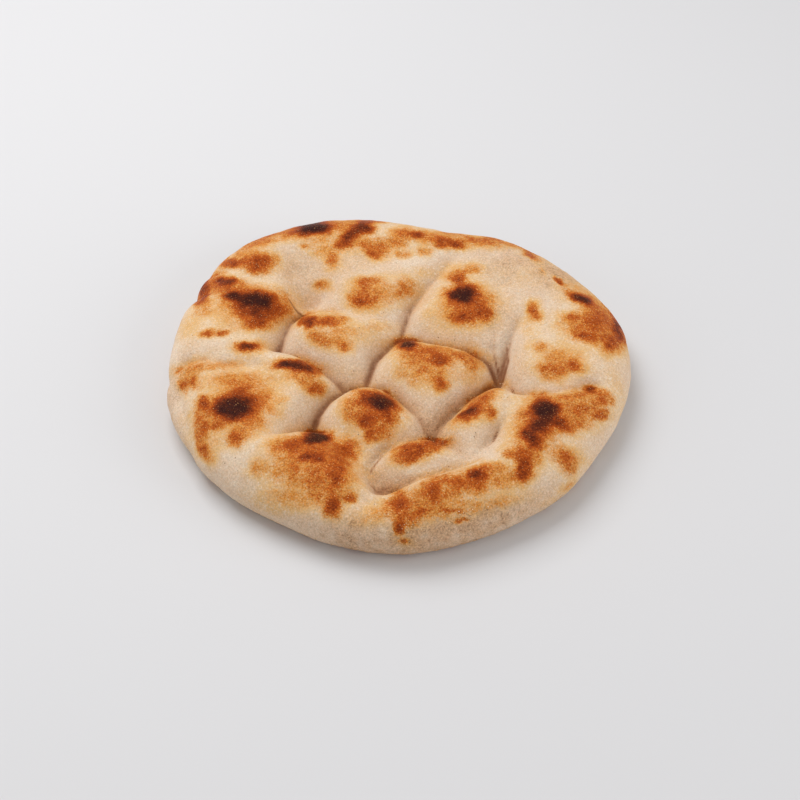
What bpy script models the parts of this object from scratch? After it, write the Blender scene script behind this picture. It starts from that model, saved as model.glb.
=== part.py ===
"""Pide: a round Turkish flatbread, its top pressed by fingers into pillows inside a raised rim.

Run with blender --background --python part.py. It leaves one closed solid named pide, in metres,
+Z up, resting on its flat underside at z = 0. All sizes below are in millimetres.
"""

import bpy
import numpy as np

MM = 0.001

# Loaf before the fingers press it
RADII = (
    124.5, 125.5, 121.5, 119.5, 117.5, 111.5, 116.0, 123.0, 128.5, 132.0, 129.0, 125.5,
    124.0, 125.5, 122.5, 120.5, 118.5, 120.5, 121.5, 119.5, 118.0, 118.5, 117.5, 120.5,
)  # from the middle to the edge, evenly spaced round the loaf, anticlockwise from +X
WAIST = 12.5  # height of the widest line of the edge
CROWN = 31.0  # height of the plain top
SHOULDER = 25.0  # how far the top rounds over before the widest line
TUCK = 9.0  # how far the underside tucks in below it
RIM_RISE = 3.0  # what the rim's crest adds
RIM_INSET = 24.0  # of the crest from the edge
RIM_SPREAD = 11.0

# Furrows between the pillows, each a run of (x, y, depth, half-width) with a sharp bottom
FURROWS = {
    "upper_left": (
        (-46, 39, 9, 12), (-54, 40, 16, 14), (-60, 30, 14, 15), (-63, 18, 14, 16), (-66, 8, 18, 16),
    ),
    "middle_left": (
        (-66, 8, 18, 16), (-60, 6, 14, 14), (-52, 3, 13, 14), (-45, -3, 13, 15), (-36, -12, 14, 17),
        (-28, -19, 18, 18), (-18, -17, 17, 18),
    ),
    "upper_middle": (
        (-54, 40, 16, 13), (-42, 38, 11, 12), (-31, 34, 7, 14), (-13, 28, 6, 14), (1, 21, 12, 17),
    ),
    "long_diagonal": (
        (37, 80, 1, 8), (30, 73, 5, 10), (17, 58, 10, 15), (6, 40, 13, 18), (1, 21, 15, 20),
        (-13, 1, 15, 20), (-18, -17, 17, 18),
    ),
    "centre_back": (
        (1, 21, 15, 20), (22, 13, 14, 21), (36, 10, 14, 21), (48, 1, 16, 19), (53, -11, 20, 17),
    ),
    "right_fold": (
        (69, 31, 2, 10), (62, 19, 9, 10), (58, 8, 15, 11), (55, -2, 18, 13), (53, -11, 20, 17),
    ),
    "right_fold_inner": ((54, 30, 2, 6), (52, 20, 8, 6), (51, 10, 12, 7), (53, -4, 15, 9)),
    "centre_front": ((53, -11, 20, 17), (38, -25, 15, 18), (21, -45, 15, 18), (17, -53, 18, 17)),
    "front_left_arc": (
        (-45, -47, 20, 16), (-42, -38, 16, 17), (-36, -27, 15, 18), (-28, -19, 18, 18),
        (-18, -17, 17, 18), (-9, -19, 14, 18), (0, -28, 14, 18), (10, -41, 13, 18),
        (17, -53, 18, 17),
    ),
    "front_left": (
        (-70, -65, 2, 7), (-63, -58, 8, 9), (-55, -52, 14, 12), (-45, -47, 20, 16),
        (-37, -51, 12, 13), (-29, -57, 5, 11),
    ),
    "front_middle": (
        (-9, -90, 19, 14), (-16, -76, 13, 12), (-8, -66, 12, 13), (2, -59, 12, 15),
        (17, -53, 18, 16), (34, -71, 10, 13),
    ),
    "front_rim": ((-9, -90, 19, 14), (12, -86, 11, 14), (34, -78, 11, 13), (50, -73, 3, 11)),
    "front_rim_end": ((-9, -90, 19, 15), (-16, -99, 6, 13), (-26, -108, 2, 12)),
    "right_front": (
        (53, -11, 20, 17), (61, -23, 15, 12), (61, -32, 3, 10), (55, -46, 3, 9), (50, -56, 9, 9),
        (44, -65, 9, 11), (36, -73, 10, 12),
    ),
    "right_valley": (
        (61, -23, 15, 12), (72, -28, 9, 13), (90, -28, 8, 12), (99, -27, 8, 9), (108, -28, 1, 9),
    ),
    "left_ledge": (
        (-124, -14, 2, 8), (-114, -6, 5, 7), (-98, -10, 5, 7), (-84, -11, 5, 7), (-73, -12, 4, 8),
    ),
    "left_groove": ((-106, 68, 3, 5), (-90, 60, 3, 5), (-80, 55, 3, 4), (-67, 51, 1, 4)),
    "left_notch": ((-128, 53, 6, 12), (-102, 46, 2, 9)),
    "left_skirt": ((-113, -16, 2, 6), (-117, -30, 5, 7), (-111, -48, 3, 6), (-106, -62, 1, 6)),
    "left_crescent": ((-103, -19, 2, 5), (-108, -27, 3, 5), (-108, -38, 1, 5)),
}
# Hollows where the dough sinks softly, in the same form
HOLLOWS = {
    "upper_left": ((-60, 88, 1, 14), (-57, 76, 3, 16), (-54, 63, 10, 18), (-50, 49, 18, 18)),
    "behind_upper_right": ((24, 74, 2, 18), (44, 82, 3, 16), (62, 76, 1, 18)),
    "right_of_upper_right": ((52, 64, 1, 9), (56, 52, 4, 10), (58, 40, 3, 9)),
    "behind_upper_middle": ((-34, 70, 1, 18), (-5, 74, 2, 20), (22, 76, 2, 18)),
    "left_middle": ((-74, -12, 3, 10), (-67, -26, 4, 12), (-64, -40, 2, 12)),
    "front_left_valley": ((-40, -50, 9, 15), (-26, -62, 10, 17), (-15, -76, 11, 16), (-9, -90, 13, 14)),
    "front_right": ((38, -70, 9, 14), (47, -63, 6, 12)),
    "front_rim_end": ((-18, -106, 4, 13), (-4, -106, 4, 13), (10, -104, 1, 12)),
}
LEAN = 0.25  # how much wider a furrow is on its far side, and narrower on its near side
MAP_STEP = 1.0  # spacing of the map of depths
MAP_REACH = 140.0
ROUNDINGS = 60  # passes that round off the ridges between furrows

# Mesh: columns round the loaf, and rows down each stretch from the crown to the middle below
COLUMNS = 240
CROWN_ROWS = 60
SHOULDER_ROWS = 18
TUCK_ROWS = 8
TRIANGLES = 11000


def edge_radius(angle):
    """Radius of the widest line at each angle, a smooth closed curve through RADII."""
    knots = np.asarray(RADII)
    place = np.mod(angle / (2 * np.pi), 1.0) * len(knots)
    first = np.floor(place).astype(int)
    t = place - first
    before, start, end, after = (knots[(first + step) % len(knots)] for step in (-1, 0, 1, 2))
    bend = 2 * before - 5 * start + 4 * end - after
    twist = 3 * (start - end) + after - before
    return start + 0.5 * t * (end - before + t * (bend + t * twist))


def distance_along(x, y, run, lean):
    """For each stretch of a run: the distance of each point from it in its widths, and its depth there."""
    for start, end in zip(run, run[1:]):
        across, along = end[0] - start[0], end[1] - start[1]
        t = ((x - start[0]) * across + (y - start[1]) * along) / (across**2 + along**2)
        t = np.clip(t, 0.0, 1.0)
        beyond = y - start[1] - t * along
        distance = np.hypot(x - start[0] - t * across, beyond)
        depth = start[2] + t * (end[2] - start[2])
        width = start[3] + t * (end[3] - start[3])
        width = width * (1 + lean * beyond / np.maximum(distance, 0.001))
        yield np.clip(distance / width, 0.0, 1.0), depth


def furrow_depth(x, y, run):
    """Depth of one furrow at each point: steep at its line, rounding into the pillows."""
    return np.max([depth * (1 - t) ** 2 for t, depth in distance_along(x, y, run, LEAN)], axis=0)


def hollow_depth(x, y, run):
    """Depth of one hollow at each point: a soft trough without an edge."""
    return np.max([depth * (1 - t**2) ** 2 for t, depth in distance_along(x, y, run, 0.0)], axis=0)


def blurred(field):
    """Each value of a map averaged with its four neighbours."""
    near = sum(np.roll(field, step, axis) for step in (-1, 1) for axis in (0, 1))
    return (field + near) / 5


def depth_map():
    """Map of how far the top is pressed in. The dough rounds off its ridges, and the furrows stay."""
    side = np.arange(-MAP_REACH, MAP_REACH + MAP_STEP, MAP_STEP)
    x, y = np.meshgrid(side, side)
    furrows = [furrow_depth(x, y, run) for run in FURROWS.values()]
    hollows = [hollow_depth(x, y, run) for run in HOLLOWS.values()]
    depth = np.max(furrows + hollows, axis=0)
    for _ in range(ROUNDINGS):
        depth = np.maximum(depth, blurred(depth))
    return blurred(depth)


def map_value(field, x, y):
    """Value of a map at any points, between its own points in proportion."""
    across = (x + MAP_REACH) / MAP_STEP
    along = (y + MAP_REACH) / MAP_STEP
    column, row = np.floor(across).astype(int), np.floor(along).astype(int)
    right, up = across - column, along - row
    below = field[row, column] * (1 - right) + field[row, column + 1] * right
    above = field[row + 1, column] * (1 - right) + field[row + 1, column + 1] * right
    return below * (1 - up) + above * up


def loaf_rows():
    """Rows of points from the middle of the top, over the edge, to the flat underside."""
    angle = np.linspace(0, 2 * np.pi, COLUMNS, endpoint=False)
    edge = edge_radius(angle)
    flat = np.zeros_like(angle)
    rows = []
    for share in np.linspace(0, 1, CROWN_ROWS + 1)[1:]:
        rows.append((share * (edge - SHOULDER), flat + CROWN, flat))
    for turn in np.linspace(0, np.pi / 2, SHOULDER_ROWS + 1)[1:]:
        inset = SHOULDER * (1 - np.sin(turn))
        height = WAIST + (CROWN - WAIST) * np.cos(turn)
        tilt = np.arctan2((CROWN - WAIST) * np.sin(turn), SHOULDER * np.cos(turn))
        rows.append((edge - inset, flat + height, flat + tilt))
    for turn in np.linspace(0, np.pi / 2, TUCK_ROWS + 1)[1:]:
        inset = TUCK * (1 - np.cos(turn))
        tilt = np.pi / 2 + np.arctan2(TUCK * np.sin(turn), WAIST * np.cos(turn))
        rows.append((edge - inset, flat + WAIST * (1 - np.sin(turn)), flat + tilt))
    return angle, rows


def loaf_points():
    """Points of the pressed loaf, row by row, the middle of the top first and of the underside last."""
    angle, rows = loaf_rows()
    edge = edge_radius(angle)
    depths = depth_map()
    points = []
    middle = np.zeros(1)
    points.append(np.array([[0.0, 0.0, CROWN - map_value(depths, middle, middle)[0]]]))
    for radius, height, tilt in rows:
        x = radius * np.cos(angle)
        y = radius * np.sin(angle)
        rim = RIM_RISE * np.exp(-(((edge - radius - RIM_INSET) / RIM_SPREAD) ** 2))
        lift = (rim - map_value(depths, x, y)) * np.clip(1 - (tilt - np.pi / 2) / (np.pi / 2), 0.0, 1.0)
        out = radius + lift * np.sin(tilt)
        up = height + lift * np.cos(tilt)
        points.append(np.stack([out * np.cos(angle), out * np.sin(angle), up], axis=1))
    points.append(np.zeros((1, 3)))
    return np.concatenate(points)


def loaf_faces(row_count):
    """Quads between neighbouring rows, and a fan of triangles at each middle point."""
    last = 1 + row_count * COLUMNS
    faces = []
    for column in range(COLUMNS):
        beside = (column + 1) % COLUMNS
        faces.append((0, 1 + column, 1 + beside))
        for row in range(row_count - 1):
            upper = 1 + row * COLUMNS
            lower = upper + COLUMNS
            faces.append((upper + column, lower + column, lower + beside, upper + beside))
        faces.append((last - COLUMNS + column, last, last - COLUMNS + beside))
    return faces


def make_crust():
    """Baked crust: pale gold and matt."""
    material = bpy.data.materials.new("crust")
    material.use_nodes = True
    shader = material.node_tree.nodes["Principled BSDF"]
    shader.inputs["Base Color"].default_value = (0.56, 0.33, 0.15, 1.0)
    shader.inputs["Roughness"].default_value = 0.62
    shader.inputs["Metallic"].default_value = 0.0
    return material


def make_pide():
    """The loaf as one object, standing on z = 0 with its bounding box about the Z axis."""
    points = loaf_points()
    faces = loaf_faces((len(points) - 2) // COLUMNS)
    low, high = points.min(axis=0), points.max(axis=0)
    points -= [(low[0] + high[0]) / 2, (low[1] + high[1]) / 2, low[2]]
    mesh = bpy.data.meshes.new("pide")
    mesh.from_pydata(points * MM, [], faces)
    mesh.materials.append(make_crust())
    pide = bpy.data.objects.new("pide", mesh)
    bpy.context.scene.collection.objects.link(pide)
    thin = pide.modifiers.new("fewer faces", "DECIMATE")
    thin.ratio = TRIANGLES / sum(len(face) - 2 for face in faces)
    thin.use_collapse_triangulate = True
    return pide


def main():
    for old in list(bpy.data.objects):
        bpy.data.objects.remove(old, do_unlink=True)
    make_pide()


if __name__ == "__main__":
    main()
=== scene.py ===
"""Looks of the pide: its crust, relief, browning and the grains that stick to it, on a pale studio floor."""

import logging
import math
from collections.abc import Iterator
from dataclasses import dataclass, field
from enum import Enum
from functools import cached_property
from typing import Any

import bpy
import numpy as np
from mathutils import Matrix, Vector, noise


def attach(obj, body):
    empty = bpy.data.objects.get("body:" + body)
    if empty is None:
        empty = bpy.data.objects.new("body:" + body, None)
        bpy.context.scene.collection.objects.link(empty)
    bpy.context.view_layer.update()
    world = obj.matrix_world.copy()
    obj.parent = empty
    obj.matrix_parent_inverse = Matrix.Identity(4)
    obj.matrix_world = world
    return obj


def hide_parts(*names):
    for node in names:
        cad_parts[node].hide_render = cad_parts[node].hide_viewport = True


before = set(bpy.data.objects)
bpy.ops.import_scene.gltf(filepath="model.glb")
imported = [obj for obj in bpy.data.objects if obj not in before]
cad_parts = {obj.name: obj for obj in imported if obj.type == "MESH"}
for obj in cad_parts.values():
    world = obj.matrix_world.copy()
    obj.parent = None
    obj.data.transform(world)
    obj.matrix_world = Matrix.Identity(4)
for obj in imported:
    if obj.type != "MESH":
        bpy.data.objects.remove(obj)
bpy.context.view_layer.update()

MM = 0.001
BODY = "root"
NODE = "pide"

Run = tuple[tuple[float, float, float, float], ...]
Colour = tuple[float, float, float]
Span = tuple[float, float]
Array = np.ndarray

log = logging.getLogger("pide")


class Layer(Enum):
    """Values that the crust's mesh carries at each vertex, by attribute name."""

    HEAT = "baked"
    # Depth of the furrows, which sets where painted shade goes on the crust
    FURROW = "furrow"
    UNDERSIDE = "underside"
    SAND = "sand"
    BARE = "bare"
    # Closeness to crease lines, which sets painted shade and a painted shadow line on the crust
    CREASE = "crease"
    ROUGH = "rough"


@dataclass(frozen=True)
class Grain:
    """Noise of one size: features to a metre, finer layers, and their strength."""

    scale: float
    detail: float = 3.0
    roughness: float = 0.7


@dataclass(frozen=True)
class Cells:
    """Rounded cells: how many to a metre, and between which distances from the middle they end."""

    scale: float
    rim: Span


# Shader maths


class Wire:
    """A socket's output that takes part in Python arithmetic, each operation adding a Math node."""

    def __init__(self, tree: "NodeTree", socket: bpy.types.NodeSocket) -> None:
        """Wraps one output socket of a tree."""
        self.tree = tree
        self.socket = socket

    def _math(self, operation: str, first: Any, second: Any = 0.0, clamp: bool = False) -> "Wire":
        """Adds one Math node and gives its output."""
        settings = {"operation": operation, "use_clamp": clamp}
        return self.tree.node("ShaderNodeMath", settings, {0: first, 1: second})[0]

    def __add__(self, other: Any) -> "Wire":
        """Sum."""
        return self._math("ADD", self, other)

    __radd__ = __add__

    def __sub__(self, other: Any) -> "Wire":
        """Difference."""
        return self._math("SUBTRACT", self, other)

    def __rsub__(self, other: Any) -> "Wire":
        """Difference from a number."""
        return self._math("SUBTRACT", other, self)

    def __mul__(self, other: Any) -> "Wire":
        """Product."""
        return self._math("MULTIPLY", self, other)

    __rmul__ = __mul__

    def clamped(self) -> "Wire":
        """The value held between 0 and 1."""
        return self._math("ADD", self, 0.0, clamp=True)

    def ramped(self, low: float, high: float) -> "Wire":
        """0 up to low and 1 from high, smooth between.

        Args:
            low: Value that gives 0.
            high: Value that gives 1.

        Returns:
            The smooth step.
        """
        settings = {"interpolation_type": "SMOOTHSTEP"}
        values = {"Value": self, "From Min": low, "From Max": high}
        return self.tree.node("ShaderNodeMapRange", settings, values)[0]


class NodeTree:
    """Builds nodes in a material's or a geometry modifier's tree."""

    def __init__(self, tree: bpy.types.NodeTree) -> None:
        """Empties Blender's tree and starts from there."""
        self.tree = tree
        tree.nodes.clear()

    def node(
        self, kind: str, settings: dict[str, Any] | None = None, values: dict[Any, Any] | None = None
    ) -> list[Wire]:
        """Adds a node.

        Args:
            kind: Blender's name of the node type.
            settings: The node's own settings, set first.
            values: Socket names or places, each with a number, a colour, or a wire to link.

        Returns:
            The node's outputs.
        """
        made = self.tree.nodes.new(kind)
        for name, value in (settings or {}).items():
            setattr(made, name, value)
        for name, value in (values or {}).items():
            if isinstance(value, Wire):
                self.tree.links.new(value.socket, made.inputs[name])
            else:
                made.inputs[name].default_value = value
        return [Wire(self, socket) for socket in made.outputs]

    def ramp(self, factor: Wire, stops: tuple[tuple[float, Colour], ...]) -> Wire:
        """Adds a colour ramp.

        Args:
            factor: What picks the place on the ramp.
            stops: Places and their colours, in order.

        Returns:
            The ramp's colour.
        """
        made = self.tree.nodes.new("ShaderNodeValToRGB")
        elements = made.color_ramp.elements
        while len(elements) < len(stops):
            elements.new(1.0)
        for element, (place, colour) in zip(elements, stops):
            element.position = place
            element.color = (*colour, 1.0)
        self.tree.links.new(factor.socket, made.inputs["Fac"])
        return Wire(self, made.outputs["Color"])

    def mixed(self, share: Any, first: Any, second: Any, blend: str = "MIX") -> Wire:
        """Mixes two colours.

        Args:
            share: Part of the second colour, a number or a wire.
            first: Colour or wire under the mix.
            second: Colour or wire over it.
            blend: Blender's name of the way to mix.

        Returns:
            The mixed colour.
        """
        settings = {"data_type": "RGBA", "blend_type": blend}
        values = {0: share, 6: self._rgba(first), 7: self._rgba(second)}
        return self.node("ShaderNodeMix", settings, values)[2]

    @cached_property
    def place(self) -> Wire:
        """Coordinates on the piece, in metres."""
        return self.node("ShaderNodeTexCoord")[3]

    def noise(self, grain: Grain) -> Wire:
        """Noise of that grain, about 0.5."""
        values = {"Scale": grain.scale, "Detail": grain.detail, "Roughness": grain.roughness}
        return self.node("ShaderNodeTexNoise", {}, {"Vector": self.place, **values})[0]

    def cells(self, cells: Cells) -> Wire:
        """0 in the middle of each cell and 1 outside it."""
        distance = self.node("ShaderNodeTexVoronoi", {}, {"Vector": self.place, "Scale": cells.scale})[0]
        return distance.ramped(*cells.rim)

    def random(self, low: float, high: float, seed: Wire) -> Wire:
        """A random number for each point, between low and high."""
        values = {2: low, 3: high, "Seed": seed}
        return self.node("FunctionNodeRandomValue", {"data_type": "FLOAT"}, values)[1]

    def vector(self, x: Any, y: Any, z: Any) -> Wire:
        """A vector of three values."""
        return self.node("ShaderNodeCombineXYZ", {}, {0: x, 1: y, 2: z})[0]

    def layer(self, layer: Layer) -> Wire:
        """The mesh's own value of that layer."""
        return self.node("ShaderNodeAttribute", {"attribute_name": layer.value})[2]

    @staticmethod
    def _rgba(colour: Any) -> Any:
        """A colour with its alpha, or the wire as it is."""
        return colour if isinstance(colour, Wire) else (*colour, 1.0)


# Finishes


FLOUR: Colour = (0.78, 0.69, 0.57)
BRAN: Colour = (0.25, 0.13, 0.06)


@dataclass(frozen=True)
class Tint:
    """A colour that lies on the crust in flecks, where its noise passes through a span."""

    colour: Colour
    grain: Grain
    span: Span
    share: float

    def laid(self, tree: NodeTree, mask: Wire, under: Wire) -> Wire:
        """The colour laid over the one under it, as far as the mask lets it, from 0 to 1."""
        flecks = tree.noise(self.grain).ramped(*self.span) * self.share
        return tree.mixed(flecks * mask, under, self.colour)


class Finish:
    """A material whose one shader takes what the finish gives."""

    def surface(self, tree: NodeTree) -> dict[str, Any]:
        """Numbers, colours and wires for the shader's sockets."""
        raise NotImplementedError

    def material(self, name: str) -> bpy.types.Material:
        """Makes the material.

        Args:
            name: Name of the material.

        Returns:
            The material.
        """
        material = bpy.data.materials.new(name)
        material.use_nodes = True
        tree = NodeTree(material.node_tree)
        shader = tree.node("ShaderNodeBsdfPrincipled", {}, self.surface(tree))[0]
        tree.node("ShaderNodeOutputMaterial", {}, {"Surface": shader})
        return material


@dataclass(frozen=True)
class CrustFinish(Finish):
    """Baked crust: cream dough that turns golden, brown and then to char with heat."""

    toasting: tuple[tuple[float, Colour], ...] = (
        (0.00, (0.690, 0.515, 0.372)),
        (0.16, (0.700, 0.425, 0.180)),
        (0.32, (0.640, 0.260, 0.048)),
        (0.48, (0.465, 0.098, 0.010)),
        (0.64, (0.270, 0.044, 0.006)),
        (0.80, (0.104, 0.018, 0.005)),
        (1.00, (0.038, 0.008, 0.005)),
    )
    mottle: Tint = Tint(FLOUR, Grain(60.0, 4.0, 0.6), (0.42, 0.68), 0.35)
    speckle: Tint = Tint((0.50, 0.31, 0.17), Grain(1050.0), (0.48, 0.68), 0.36)
    floury: Tint = Tint(FLOUR, Grain(640.0, 4.0, 0.75), (0.5, 0.66), 0.5)
    fleck: Tint = Tint(BRAN, Grain(130.0, 3.0, 0.55), (0.5, 0.62), 0.25)
    flake: Tint = Tint(BRAN, Grain(520.0, 4.0), (0.53, 0.63), 0.6)
    dust: Tint = Tint(FLOUR, Grain(480.0), (0.5, 0.66), 0.5)
    fleck_cells: Cells = Cells(420.0, (0.06, 0.17))
    # Painted shade and shadow: furrow is the warm darker tint laid in the furrows and near the creases,
    # crease the dark painted shadow line along the creases
    furrow: Colour = (0.480, 0.215, 0.080)
    crease: Colour = (0.170, 0.045, 0.012)
    dusty: Colour = (0.575, 0.335, 0.180)
    furrow_shade_share: float = 0.24
    crease_shade_share: float = 0.4
    crease_shadow_share: float = 0.8
    dusty_share: float = 0.75
    ragging: Grain = Grain(420.0, 3.0, 0.6)
    ragging_share: float = 0.08
    # Painted fine shading: noise that darkens and lightens the colour in tiny specks, standing in for the
    # shade of the crust's pores and grit
    grain_shading: Grain = Grain(1150.0)
    broad: Grain = Grain(170.0, 4.0, 0.6)
    broad_share: float = 0.52
    fine: Grain = Grain(1000.0)
    fine_share: float = 0.62
    pale: Span = (0.1, 0.4)
    browned: Span = (0.15, 0.5)
    roughness: float = 0.62
    shine: Grain = Grain(1300.0, 2.0, 0.6)
    skin: Grain = Grain(260.0, 5.0, 0.6)
    grit: Grain = Grain(1000.0, 3.0, 0.65)
    pores: Cells = Cells(620.0, (0.0, 0.45))
    blisters: Cells = Cells(1150.0, (0.1, 0.6))
    bump_depth: float = 0.0009
    bump_strength: float = 0.55

    def surface(self, tree: NodeTree) -> dict[str, Any]:
        """Browned colour, shine and relief over dough that lets a little light in."""
        heat = self._heat(tree)
        return {
            "Base Color": self._colour(tree, heat),
            "Roughness": self._roughness(tree, heat),
            "Normal": self._relief(tree, heat),
            "Subsurface Weight": 0.06,
            "Subsurface Radius": (1.0, 0.5, 0.25),
            "Subsurface Scale": 0.003,
            "Specular IOR Level": 0.05,
        }

    def _heat(self, tree: NodeTree) -> Wire:
        """Browning: the mesh's own, broken up by mottling where there is any.

        Args:
            tree: The material's tree.

        Returns:
            0 for pale dough up to 1 for char.
        """
        broad = (tree.noise(self.broad) - 0.5) * self.broad_share
        fine = (tree.noise(self.fine) - 0.5) * self.fine_share
        base = tree.layer(Layer.HEAT)
        strength = base.ramped(0.05, 0.4) * 0.92 + 0.08
        return (base + (broad + fine) * strength).clamped()

    def _colour(self, tree: NodeTree, heat: Wire) -> Wire:
        """Toasted dough with flour and bran flecks, warm painted shade in the furrows, painted shadow lines
        along the creases and painted fine shading of the grain.

        Args:
            tree: The material's tree.
            heat: Browning.

        Returns:
            The colour.
        """
        pale = 1.0 - heat.ramped(*self.pale)
        torn = tree.layer(Layer.ROUGH)
        colour = self.mottle.laid(tree, pale, tree.ramp(heat, self.toasting))
        colour = self.speckle.laid(tree, 1.0 - heat.ramped(0.3, 0.6), colour)
        colour = self.floury.laid(tree, pale, colour)
        # Painted shade: a warm darker tint deep in the furrows and near the crease lines, on the paler
        # crust, ragged at its edge
        near = tree.layer(Layer.CREASE) + (tree.noise(self.ragging) - 0.5) * self.ragging_share
        shade = tree.layer(Layer.FURROW).ramped(0.6, 1.0) * self.furrow_shade_share
        shade = (shade + near.ramped(0.66, 0.92) * self.crease_shade_share).clamped()
        colour = tree.mixed(shade * pale, colour, self.furrow)
        # Painted shadow: a dark line along each crease
        colour = tree.mixed(near.ramped(0.82, 0.97) * self.crease_shadow_share, colour, self.crease)
        colour = self.fleck.laid(tree, 1.0 - tree.cells(self.fleck_cells), colour)
        colour = tree.mixed(torn * self.dusty_share * pale, colour, self.dusty)
        colour = self.flake.laid(tree, torn, colour)
        colour = self.dust.laid(tree, tree.layer(Layer.UNDERSIDE), colour)
        # Painted fine shading: random darker and lighter specks, the same in every channel, stronger where
        # browned or torn
        grain = tree.noise(self.grain_shading).ramped(0.36, 0.66) - 0.5
        rough = heat.ramped(*self.browned) * 0.22 + torn * 0.2 + 0.2
        return tree.mixed(1.0, colour, grain * rough + 1.0, "MULTIPLY")

    def _roughness(self, tree: NodeTree, heat: Wire) -> Wire:
        """Matt dough that shines a little where it browned, in tiny spots."""
        spots = tree.noise(self.shine)
        return self.roughness - heat.ramped(0.2, 0.6) * (spots * 0.45) + spots * 0.1

    def _relief(self, tree: NodeTree, heat: Wire) -> Wire:
        """Pores and a leathery skin, with tiny blisters where it browned and crumbs where it tore.

        Args:
            tree: The material's tree.
            heat: Browning.

        Returns:
            The shader's normal.
        """
        skin = tree.noise(self.skin) * 0.9 + tree.noise(self.grit) * 0.5
        pores = tree.cells(self.pores) * 0.25
        blisters = (1.0 - tree.cells(self.blisters)) * heat.ramped(*self.browned) * 0.6
        crumbs = tree.noise(self.flake.grain) * tree.layer(Layer.ROUGH) * 2.0
        height = skin + pores + blisters + crumbs
        values = {"Strength": self.bump_strength, "Distance": self.bump_depth, "Height": height}
        return tree.node("ShaderNodeBump", {}, values)[0]


@dataclass(frozen=True)
class GrainFinish(Finish):
    """Small things on the crust: one colour that varies from place to place, or by a layer's value."""

    light: Colour
    dark: Colour
    roughness: float
    by: Layer | None = None
    patches: Grain = Grain(700.0, 3.0, 0.55)

    def surface(self, tree: NodeTree) -> dict[str, Any]:
        """Mixed colour and little shine."""
        share = tree.noise(self.patches).ramped(0.35, 0.65)
        if self.by is not None:
            share = share * 0.3 + tree.layer(self.by).ramped(0.4, 0.8) * 0.7
        colour = tree.mixed(share, self.light, self.dark)
        return {"Base Color": colour, "Roughness": self.roughness, "Specular IOR Level": 0.2}


@dataclass(frozen=True)
class FloorFinish(Finish):
    """Pale matt studio floor."""

    colour: Colour = (0.64, 0.635, 0.645)
    roughness: float = 0.7

    def surface(self, tree: NodeTree) -> dict[str, Any]:
        """One even colour."""
        return {"Base Color": (*self.colour, 1.0), "Roughness": self.roughness}


# Form of the loaf, in millimetres


def uneven(points: Array, size: float, shift: float = 0.0) -> Array:
    """Slow unevenness of each point, from about -1 to 1, over that size. The shift picks another pattern."""
    away = Vector((shift, 0.7 * shift, -1.3 * shift))
    return np.array([noise.noise(Vector(point) / size + away) for point in points])


def held(values: Array, high: float = 1.0) -> Array:
    """Values kept between 0 and the highest that is allowed."""
    return np.clip(values, 0.0, high)


def mound(x: Array, y: Array, width: float, length: float) -> Array:
    """A round hill, 1 in the middle and soft to all sides."""
    return np.exp(-((x / width) ** 2) - (y / length) ** 2)


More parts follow.
